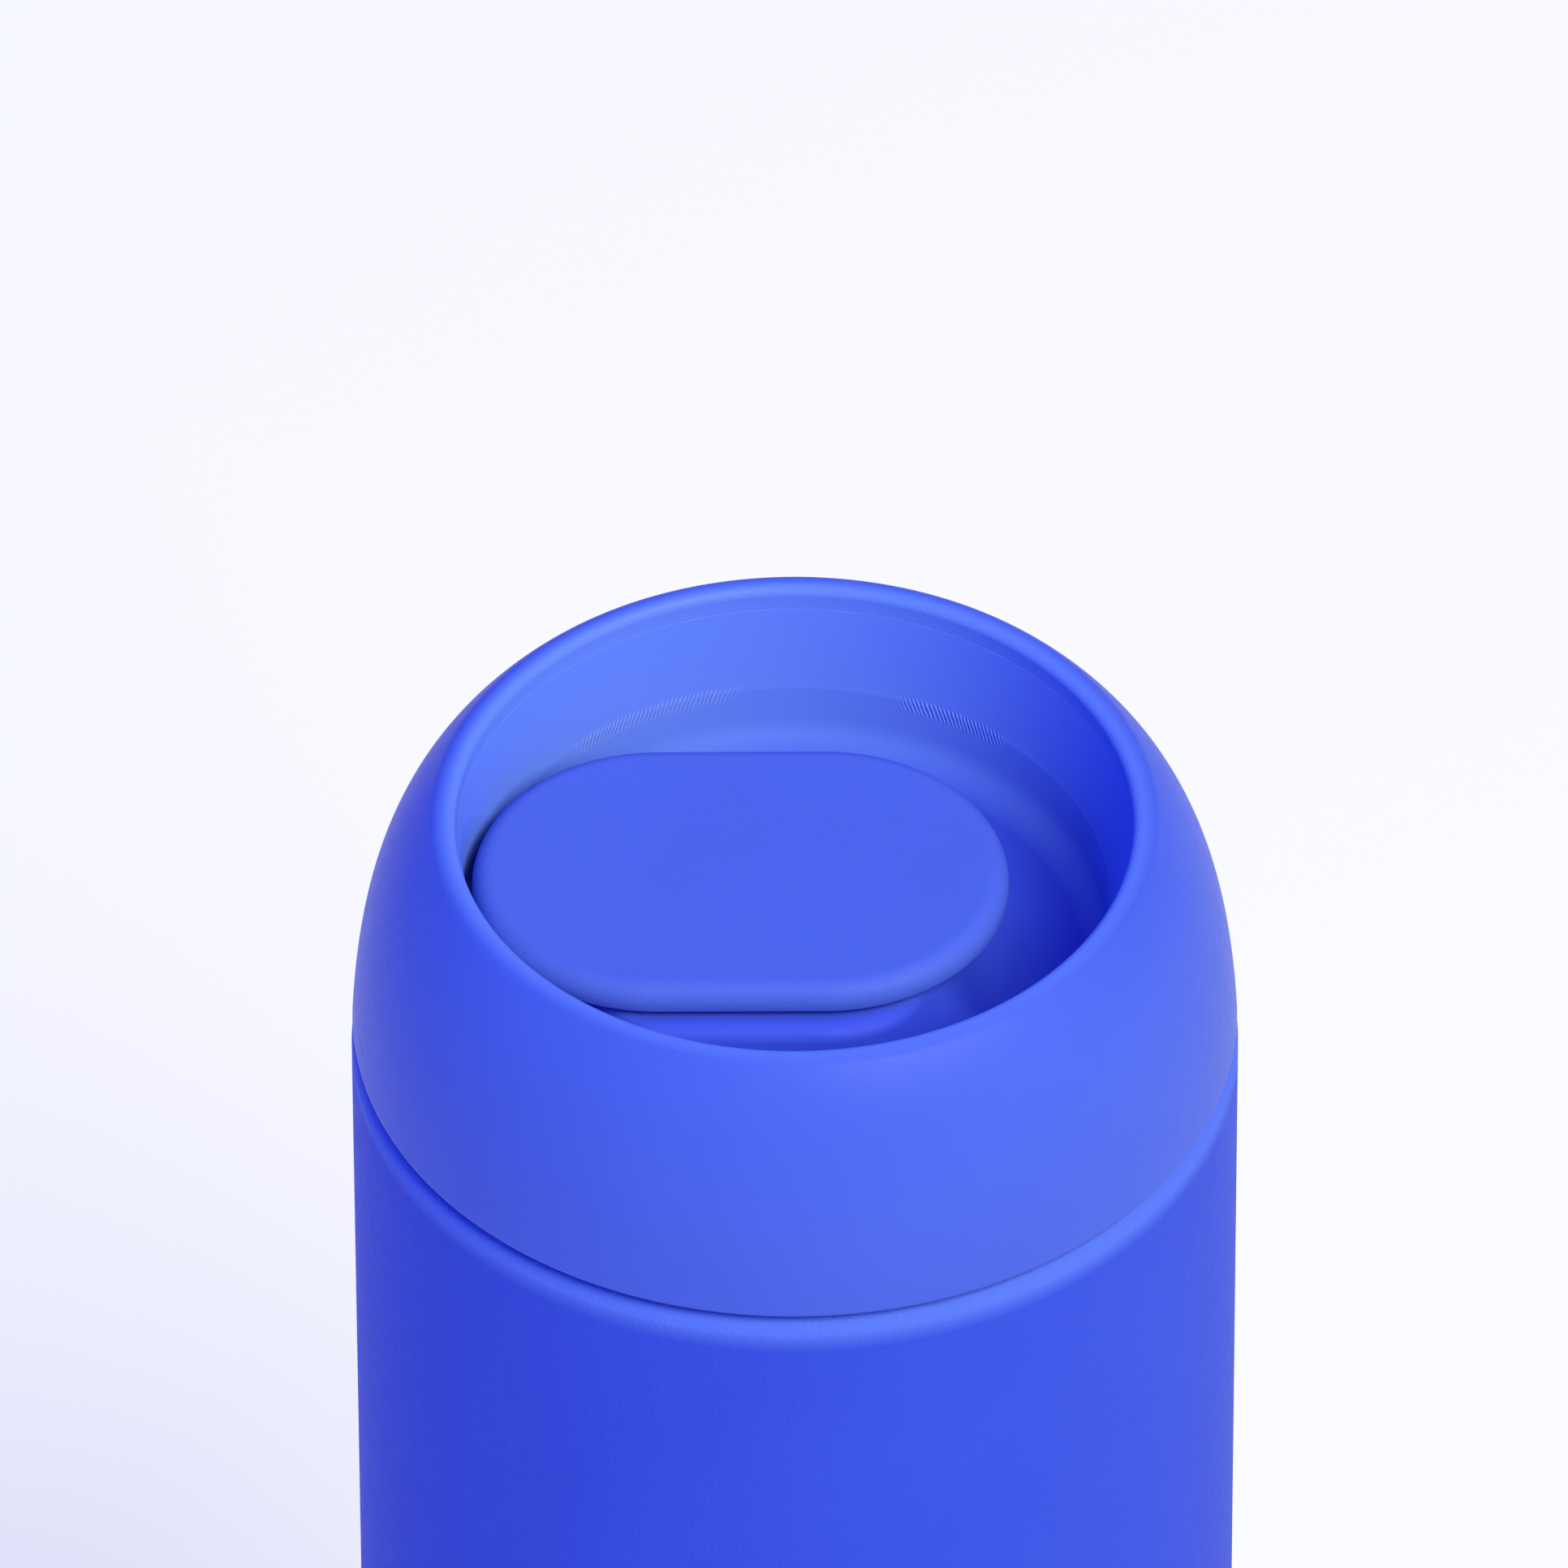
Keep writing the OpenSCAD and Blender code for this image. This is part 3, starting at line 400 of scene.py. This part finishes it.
def combed(name, colour, deep, roughness, specular):
    """The dish's plastic, with the fine cross marks that the mould left along the crease; its
    colour holds painted shade in the moat and on the shelf, painted light on the wall and a painted
    glint on the marks.
    """
    m = Nodes(name)
    parts = m.parts()
    teeth, near = comb_marks(m, parts)
    start, end = [(CREASE_R - inside) * MM for inside in WALL_FADE]
    # painted light and shade: the wall above the crease takes a lighter blue, the moat and shelf
    # below a darker one
    wall = m.span(m.radius(parts), 0.0, 1.0, start, end)
    shade = m.mix(wall, m.tone(colour, deep), (*WALL_PAINTED_LIGHT_BLUE, 1))
    # painted glint: the comb marks are tinted a lighter blue
    painted_glint = m.math("MULTIPLY", near, m.span(teeth, 0.0, COMB_GLINT_TINT, -0.2, 0.9))
    m.link(m.mix(painted_glint, shade, (*COMB_GLINT_BLUE, 1)), "Base Color")
    gloss = m.gloss(roughness, 0.04)
    m.link(m.math("SUBTRACT", gloss, m.math("MULTIPLY", near, COMB_GLOSS)), "Roughness")
    comb = m.bump(m.math("MULTIPLY", teeth, near), COMB_DEPTH)
    m.link(m.bump(m.noise(DISH_GRAIN, 3, 0.6), DISH_GRAIN_DEPTH, comb), "Normal")
    m.set("Specular IOR Level", specular)
    return m.material


def metal(name, colour, roughness):
    """Drawn steel, with fine streaks around the axis."""
    m = Nodes(name)
    stretch = {"Vector": m.place(), "Scale": (1, 1, STEEL_STRETCH)}
    streaks = m.add("ShaderNodeMapping", stretch).outputs["Vector"]
    pattern = {"Vector": streaks, "Scale": STEEL_SCALE, "Detail": 4}
    grain = m.add("ShaderNodeTexNoise", pattern).outputs["Fac"]
    m.link(m.mix(grain, (*[c * STEEL_SHADE for c in colour], 1), (*colour, 1)), "Base Color")
    m.link(m.span(grain, roughness - 0.06, roughness + 0.08), "Roughness")
    m.link(m.bump(grain, STEEL_DEPTH), "Normal")
    m.set("Metallic", 1.0)
    return m.material


MOULDED = {
    # the powder coat's fade paints the shoulder's highlight: a lighter blue over the last 3 mm
    # below the lip
    "powder_coat": dict(
        colour=COAT_BLUE, deep=COAT_BLUE_DEEP, roughness=0.5, grain=3200, depth=0.0001,
        specular=0.04, fade=(COAT_SHOULDER_HIGHLIGHT_BLUE, "height", BODY_H - 3.0, BODY_H - 1.2),
    ),
    # the lid plastic's fade is painted light: a lighter blue on the rim's inner side, towards the
    # parting line
    "lid_plastic": dict(
        colour=SHELL_BLUE, deep=SHELL_BLUE_DEEP, roughness=0.4, grain=6000, depth=0.00003,
        specular=0.1, fade=(RIM_INSIDE_PAINTED_LIGHT_BLUE, "radius", RIM_TOP_R + 1.0, PARTING_R),
    ),
    "flap_plastic": dict(
        colour=LID_BLUE, deep=LID_BLUE_DEEP, roughness=0.5, grain=5000, depth=0.00004,
        specular=0.1,
    ),
    "core_plastic": dict(
        colour=CHARCOAL, deep=CHARCOAL_DEEP, roughness=0.45, grain=7000, depth=0.00001,
    ),
    "seal_silicone": dict(
        colour=SEAL_GREY, deep=SEAL_GREY_DEEP, roughness=0.5, grain=6000, depth=0.00001,
    ),
    "foot_silicone": dict(
        colour=COAT_BLUE, deep=COAT_BLUE_DEEP, roughness=0.6, grain=5000, depth=0.00001,
    ),
    "foam": dict(
        colour=FOAM_CREAM, deep=FOAM_CREAM_DEEP, roughness=0.9, grain=2500, depth=0.0001,
    ),
    "getter": dict(
        colour=GETTER_GREY, deep=GETTER_GREY_DEEP, roughness=0.7, grain=6000, depth=0.00004,
    ),
    "bead": dict(
        colour=BEAD_BROWN, deep=BEAD_BROWN_DEEP, roughness=0.2, grain=2000, depth=0.00001,
    ),
}
finishes = {name: moulded(name, **look) for name, look in MOULDED.items()}
finishes["dish_plastic"] = combed("dish_plastic", DISH_PAINTED_SHADE_BLUE, DISH_PAINTED_SHADE_BLUE_DEEP, 0.5, 0.1)
finishes["steel"] = metal("steel", STEEL, 0.28)
slot_of = {part["node"]: part["material_slot"] for part in frame["record"]["subparts"]}


def finish_cad_nodes():
    for name, slot in slot_of.items():
        node = frame["nodes"][name]
        node.data.materials.clear()
        node.data.materials.append(finishes[slot])


# Pieces --------------------------------------------------------------------------------------


def mesh_of(name, points, faces):
    """A mesh whose points are given in millimetres."""
    mesh = bpy.data.meshes.new(name)
    mesh.from_pydata([tuple(MM * c for c in p) for p in points], [], faces)
    return mesh


def add_piece(name, points, faces, body, node, cutters=()):
    """A closed mesh that stands for a CAD node and rides on its body."""
    piece = bpy.data.objects.new(name, mesh_of(name, points, faces))
    bpy.context.scene.collection.objects.link(piece)
    for cutter in cutters:
        cut_away(piece, *cutter)
    mesh = piece.data
    mesh.shade_smooth()
    mesh.set_sharp_from_angle(angle=math.radians(SHARP_ANGLE))
    mesh.materials.clear()
    mesh.materials.append(finishes[slot_of[node]])
    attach(piece, body)
    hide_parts(node)


def cut_away(piece, points, faces):
    """Cuts a closed mesh out of a piece and keeps the result as the piece's mesh."""
    mesh = mesh_of("cutter", points, faces)
    shaped = bmesh.new()
    shaped.from_mesh(mesh)
    bmesh.ops.recalc_face_normals(shaped, faces=shaped.faces)
    shaped.to_mesh(mesh)
    shaped.free()
    cutter = bpy.data.objects.new("cutter", mesh)
    bpy.context.scene.collection.objects.link(cutter)
    modifier = piece.modifiers.new("cut", "BOOLEAN")
    modifier.operation = "DIFFERENCE"
    modifier.solver = "EXACT"
    modifier.object = cutter
    bpy.context.view_layer.update()
    evaluated = piece.evaluated_get(bpy.context.evaluated_depsgraph_get())
    result = bpy.data.meshes.new_from_object(evaluated)
    piece.modifiers.clear()
    old = piece.data
    piece.data = result
    bpy.data.meshes.remove(old)
    bpy.data.objects.remove(cutter)
    bpy.data.meshes.remove(mesh)


def arc(cx, cz, r, start, end, steps):
    """Points on a circle, from one angle to another in degrees."""
    return [
        (cx + r * math.cos(math.radians(a)), cz + r * math.sin(math.radians(a)))
        for a in np.linspace(start, end, steps + 1)
    ]


def loop_faces(rings, columns, closed=True):
    """Quads between rings of points; the points are stored ring by ring."""
    faces = []
    for i in range(rings if closed else rings - 1):
        j = (i + 1) % rings
        for k in range(columns):
            n = (k + 1) % columns
            faces.append((i * columns + k, i * columns + n, j * columns + n, j * columns + k))
    return faces


def revolve(profile, columns):
    """A closed outline of (radius, height) points, turned around the bottle's axis."""
    turns = np.linspace(0, 2 * math.pi, columns, endpoint=False)
    points = [(r * math.cos(t), r * math.sin(t), z) for r, z in profile for t in turns]
    return points, loop_faces(len(profile), columns)


def outer_wall():
    """The body's outer steel, from the base's recess over heel and shoulder to the lip."""
    heel = (BODY_R - HEEL_R, FOOT_PROUD + HEEL_R)
    shoulder = (BODY_R - SHOULDER_R, BODY_H - SHOULDER_R)
    side_low, side_high = 10, BODY_H - 8
    lip_ring_r = LIP_R + 1.2     # a ring that keeps the shading of the lip flat
    profile = [(RECESS_R, FOOT_PROUD)]
    profile += arc(*heel, HEEL_R, -90, 0, steps=16)
    profile += [(BODY_R, z) for z in np.linspace(side_low, side_high, num=12)]
    profile += arc(*shoulder, SHOULDER_R, 0, 90, steps=18)
    profile += [(lip_ring_r, BODY_H), (LIP_R, BODY_H), (LIP_R, BODY_H - STEEL_T)]
    profile += arc(*shoulder, SHOULDER_R - STEEL_T, 90, 0, steps=6)
    profile += arc(*heel, HEEL_R - STEEL_T, 0, -90, steps=6)
    profile += [(RECESS_R, FOOT_PROUD + STEEL_T)]
    return revolve(profile, BODY_COLUMNS)


def dome_line(steps, inset):
    """The dome's outer line from the seam to the rim, pushed inwards."""
    lean = math.radians(DOME_LEAN)
    rim_lean = math.radians(RIM_LEAN)
    low = np.array([DOME_R, SEAM_Z + DOME_EDGE])
    high = np.array([RIM_TOP_R, RIM_Z - RIM_OUTER_R])
    high = high + RIM_OUTER_R * np.array([math.cos(rim_lean), math.sin(rim_lean)])
    p = [
        low,
        low + DOME_LOW_PULL * np.array([-math.sin(lean), math.cos(lean)]),
        high - DOME_HIGH_PULL * np.array([-math.sin(rim_lean), math.cos(rim_lean)]),
        high,
    ]
    line = []
    for t in np.linspace(0, 1, steps + 1):
        u = 1 - t
        at = u**3 * p[0] + 3 * u * u * t * p[1] + 3 * u * t * t * p[2] + t**3 * p[3]
        d = u * u * (p[1] - p[0]) + 2 * u * t * (p[2] - p[1]) + t * t * (p[3] - p[2])
        normal = np.array([d[1], -d[0]]) / np.linalg.norm(d)
        line.append(tuple(at - inset * normal))
    return line


def dome_shell():
    """The lid's outer shell, from the seam over the rim to the parting line."""
    tongue_r = PARTING_R + TONGUE_W
    inner = [p for p in dome_line(steps=40, inset=DOME_T) if p[0] > PARTING_R + DOME_INNER_END]
    profile = arc(DOME_R - DOME_EDGE, SEAM_Z + DOME_EDGE, DOME_EDGE, -90, 0, steps=6)[:-1]
    profile += dome_line(steps=72, inset=0)
    profile += arc(RIM_TOP_R, RIM_Z - RIM_OUTER_R, RIM_OUTER_R, RIM_LEAN, 90, steps=14)[1:]
    profile += arc(RIM_TOP_R, RIM_Z - RIM_INNER_R, RIM_INNER_R, 90, 180, steps=12)[1:]
    profile += [(PARTING_R + PARTING_STEP, PARTING_Z + PARTING_BEVEL)]
    profile += [(PARTING_R + PARTING_BEVEL, PARTING_Z)]
    profile += [(tongue_r, PARTING_Z), (tongue_r, inner[-1][1])]
    profile += inner[::-1]
    profile += [(inner[0][0], SEAM_Z)]
    return revolve(profile, DOME_COLUMNS)


def stadium(half_straight, radius, columns):
    """Places evenly along a stadium's edge: the cap's or side's centre x, and the outward angle."""
    around = 2 * math.pi * radius + 4 * half_straight
    quarter = math.pi * radius / 2
    straight = 2 * half_straight
    places = []
    for k in range(columns):
        s = around * k / columns
        if s < quarter:
            places.append((half_straight, s / radius))
        elif s < quarter + straight:
            places.append((half_straight - (s - quarter), math.pi / 2))
        elif s < 3 * quarter + straight:
            places.append((-half_straight, math.pi / 2 + (s - quarter - straight) / radius))
        elif s < 3 * quarter + 2 * straight:
            places.append((-half_straight + (s - 3 * quarter - straight), 3 * math.pi / 2))
        else:
            turned = (s - 3 * quarter - 2 * straight) / radius
            places.append((half_straight, 3 * math.pi / 2 + turned))
    return places


def flap_cover():
    """The flap's skin: rounded edge, flat top and the hollow that holds the frame."""
    columns = FLAP_COLUMNS
    places = [(x - FLAP_SHIFT, a) for x, a in stadium(FLAP_HALF_STRAIGHT, FLAP_HALF_W, columns)]
    r = FLAP_HALF_W
    low = FLAP_LOW_EDGE_R
    skirt_r = r - FLAP_SKIRT_W
    top_ring_r = r - FLAP_EDGE_R - 0.4   # a ring that keeps the shading of the top flat
    middle = 0.4
    profile = [(middle, FRAME_TOP), (skirt_r, FRAME_TOP), (skirt_r, FLAP_BOTTOM)]
    profile += [(r - low, FLAP_BOTTOM)]
    profile += arc(r - low, FLAP_BOTTOM + low, low, -90, 0, steps=4)[1:]
    profile += arc(r - FLAP_EDGE_R, FLAP_TOP - FLAP_EDGE_R, FLAP_EDGE_R, 0, 90, steps=20)
    profile += [(top_ring_r, FLAP_TOP), (middle, FLAP_TOP)]
    points = [
        (x + q * math.cos(a), q * math.sin(a), z)
        for q, z in profile
        for x, a in places
    ]
    rings = len(profile)
    faces = loop_faces(rings, columns, closed=False)
    faces.append(tuple(range(columns)))
    faces.append(tuple((rings - 1) * columns + k for k in reversed(range(columns))))
    return points, faces


def smooth_max(a, b, k):
    h = np.maximum(k - np.abs(a - b), 0) / k
    return np.maximum(a, b) + h * h * k / 4


def shelf_height(x, y):
    """The pedestal under the flap: a flat shelf with a soft edge and the finger scoop."""
    cap = FLAP_HALF_STRAIGHT
    along = np.clip(x, -FLAP_SHIFT - cap, -FLAP_SHIFT + cap)
    tail = np.clip((NARROW_X - x) / NARROW_L, 0, 1)
    width = SHELF_W - (SHELF_W + SHELF_CUT) * tail * tail * (3 - 2 * tail)
    edge = np.hypot(x - along, y) - FLAP_HALF_W - width
    rim = math.sqrt(SCOOP_R**2 - (SCOOP_Z - SHELF_Z) ** 2)
    scoop = rim - np.hypot(x - SCOOP_X, y)
    depth = smooth_max(edge, scoop, EDGE_BLEND)
    down = np.clip(depth + SHELF_SOFT, 0, SHELF_SOFT)
    fillet = SHELF_SOFT - np.sqrt(np.maximum(SHELF_SOFT**2 - down**2, 0))
    cliff = DROP * (1 - np.exp(-(fillet + CLIFF_SLOPE * np.maximum(depth, 0)) / DROP))
    inside = np.maximum(depth + SCOOP_LEAD, 0) / SCOOP_SPAN
    bowl = DROP * (1 - np.exp(-(inside**SCOOP_CURVE)))
    share = np.clip((scoop - edge + SHARE_LEAD) / SHARE_SPAN, 0, 1)
    share = share * share * (3 - 2 * share)
    return SHELF_Z - (1 - share) * cliff - share * bowl


def dish():
    """The dish from the spout's bore over shelf and moat to the parting line, and its back."""
    turns = np.linspace(0, 2 * math.pi, DISH_COLUMNS, endpoint=False)
    c, s = np.cos(turns), np.sin(turns)
    one = np.ones(DISH_COLUMNS)

    def reach(radius):
        """How far a circle around the bottle's axis lies from the spout's axis."""
        return -SPOUT_X * c + np.sqrt((SPOUT_X * c) ** 2 - SPOUT_X**2 + radius**2)

    def ring(distance, height):
        return np.stack([SPOUT_X + distance * c, distance * s, height + 0 * c], axis=1)

    # The spout's bore and the stopper's seat
    seat_lip = SHELF_Z - SEAT_EDGE_R
    rings = [
        ring(SPOUT_R * one, PLUG_Z),
        ring(SPOUT_R * one, SEAT_Z - SPOUT_EDGE),
        ring((SPOUT_R + SPOUT_EDGE_MID) * one, SEAT_Z - SPOUT_EDGE_MID),
        ring((SPOUT_R + SPOUT_EDGE) * one, SEAT_Z),
        ring(SEAT_LOW_R * one, SEAT_Z),
        ring(SEAT_TOP_R * one, seat_lip),
    ]
    for q, h in arc(SEAT_EDGE_R, 0, SEAT_EDGE_R, 180, 90, steps=5)[1:]:
        rings.append(ring((SEAT_TOP_R + q) * one, seat_lip + h))

    # From the shelf to the crease, each column resampled along its own length
    margin = 0.1
    first = SEAT_TOP_R + SEAT_EDGE_R + margin
    flat = reach(CREASE_R - BOWL_R)
    bowl = [
        (CREASE_R - BOWL_R + BOWL_R * math.sin(b), FLOOR_Z + BOWL_R - BOWL_R * math.cos(b))
        for b in np.linspace(0, math.radians(BOWL_END), num=84)
    ]
    last = bowl[-1]
    top = (CREASE_R + CREASE_W, CREASE_Z + margin)
    for t in np.linspace(0, 1, num=15)[1:]:
        bowl.append(tuple(a + (b - a) * t for a, b in zip(last, top)))
    distance = [first + (flat - first) * t for t in np.linspace(0, 1, FLOOR_STEPS + 1)[:-1]]
    distance = np.array(distance + [reach(r) for r, _ in bowl])
    base = np.array([FLOOR_Z] * FLOOR_STEPS + [z for _, z in bowl])[:, None]
    x = SPOUT_X + distance * c
    y = distance * s
    height = smooth_max(base + 0 * x, shelf_height(x, y), FLOOR_BLEND)
    height = np.minimum(height, np.maximum(SHELF_Z, base))
    spread = np.zeros((DISH_SAMPLES, DISH_COLUMNS, 3))
    for k in range(DISH_COLUMNS):
        step = np.hypot(np.diff(distance[:, k]), np.diff(height[:, k]))
        length = np.concatenate([[0], np.cumsum(step)])
        at = np.linspace(0, length[-1], DISH_SAMPLES)
        d = np.interp(at, length, distance[:, k])
        spread[:, k, 0] = SPOUT_X + d * c[k]
        spread[:, k, 1] = d * s[k]
        spread[:, k, 2] = np.interp(at, length, height[:, k])
    rings += list(spread)

    # From the crease up to the parting line
    wall_w = PARTING_R - CREASE_R - CREASE_W
    wall_h = PARTING_Z - PARTING_NICK - CREASE_Z
    wall = [
        (CREASE_R + CREASE_W + wall_w * t, CREASE_Z + wall_h * t)
        for t in np.linspace(WALL_START, 1, num=27)
    ]
    wall += [(PARTING_R + PARTING_NICK, PARTING_Z)]
    for radius, z in wall:
        d = reach(radius)
        shelf = np.minimum(shelf_height(SPOUT_X + d * c, d * s), SHELF_Z)
        rings.append(ring(d, np.maximum(z, shelf)))

    # The back, out of sight
    rings += [ring(reach(radius), z) for radius, z in BACK]
    rings += [ring(TUBE_R * one, BACK[-1][1]), ring(TUBE_R * one, PLUG_Z)]
    points = np.concatenate(rings)
    return [tuple(p) for p in points], loop_faces(len(rings), DISH_COLUMNS)


def box_cutter(lo, hi):
    points = [(x, y, z) for x in (lo[0], hi[0]) for y in (lo[1], hi[1]) for z in (lo[2], hi[2])]
    faces = [(0, 1, 3, 2), (4, 6, 7, 5), (0, 4, 5, 1), (2, 3, 7, 6), (0, 2, 6, 4), (1, 5, 7, 3)]
    return points, faces


def well_cutter():
    """The upright space behind the flap's hinge end, above the hinge axis."""
    radius = FLAP_HALF_W + WELL_GAP
    cap = -FLAP_SHIFT - FLAP_HALF_STRAIGHT
    last = math.degrees(math.acos((WELL_EDGE_X - cap) / radius))
    outline = arc(cap, 0, radius, last, 360 - last, steps=120)
    n = len(outline)
    above = RIM_Z + 2
    points = [(x, y, z) for z in (HINGE_Z, above) for x, y in outline]
    faces = [tuple(range(n)), tuple(range(n, 2 * n))]
    faces += [(k, (k + 1) % n, n + (k + 1) % n, n + k) for k in range(n)]
    return points, faces


def sweep_cutter():
    """The space that the flap's tail sweeps below the hinge axis, up to the well's edge."""
    corner = math.hypot(TAIL_REACH, HINGE_DROP)
    cap = -FLAP_SHIFT - FLAP_HALF_STRAIGHT - HINGE_X
    outer = math.hypot(HINGE_INSET - FLAP_EDGE_R, HINGE_DROP - FLAP_EDGE_R) + FLAP_EDGE_R

    def half_width(rho):
        d = -TAIL_REACH if rho < corner else math.sqrt(rho * rho - HINGE_DROP**2)
        return math.sqrt(max(0, FLAP_HALF_W**2 - (cap + d) ** 2)) + TAIL_SIDE_GAP

    nearest = 0.05
    past_corner = corner + 0.01
    side = [(nearest, half_width(0)), (corner + TAIL_GAP, half_width(0))]
    for rho in np.linspace(past_corner, outer, num=12):
        side.append((rho + TAIL_GAP, half_width(rho)))
    section = side + [(rho, -w) for rho, w in reversed(side)]
    shaped = bmesh.new()
    rings = []
    for a in np.linspace(*SWEEP, num=48):
        a = math.radians(a)
        ring = [(HINGE_X + q * math.cos(a), w, HINGE_Z + q * math.sin(a)) for q, w in section]
        rings.append([shaped.verts.new(point) for point in ring])
    n = len(section)
    for one, two in zip(rings, rings[1:]):
        for k in range(n):
            shaped.faces.new((one[k], one[(k + 1) % n], two[(k + 1) % n], two[k]))
    shaped.faces.new(rings[0])
    shaped.faces.new(rings[-1])
    everything = shaped.verts[:] + shaped.edges[:] + shaped.faces[:]
    cut = bmesh.ops.bisect_plane(
        shaped, geom=everything, plane_co=(WELL_EDGE_X, 0, 0), plane_no=(1, 0, 0),
        clear_outer=True,
    )
    edges = [e for e in cut["geom_cut"] if isinstance(e, bmesh.types.BMEdge)]
    bmesh.ops.edgenet_fill(shaped, edges=edges)
    bmesh.ops.triangulate(shaped, faces=shaped.faces[:])
    shaped.verts.index_update()
    points = [tuple(v.co) for v in shaped.verts]
    faces = [tuple(v.index for v in f.verts) for f in shaped.faces]
    shaped.free()
    return points, faces


add_camera()
add_world()
for light in LIGHTS:
    add_area_light(**light)
add_floor()
finish_cad_nodes()
dish_cutters = (well_cutter(), sweep_cutter(), box_cutter(*HINGE_POCKET))
add_piece("outer_wall_skin", *outer_wall(), "bottle", "outer_wall")
add_piece("dome_shell_skin", *dome_shell(), "lid", "dome_shell")
add_piece("flap_cover_skin", *flap_cover(), "flap", "flap_cover")
add_piece("dish_skin", *dish(), "lid", "dish", cutters=dish_cutters)
bpy.context.scene.view_settings.view_transform = "Standard"
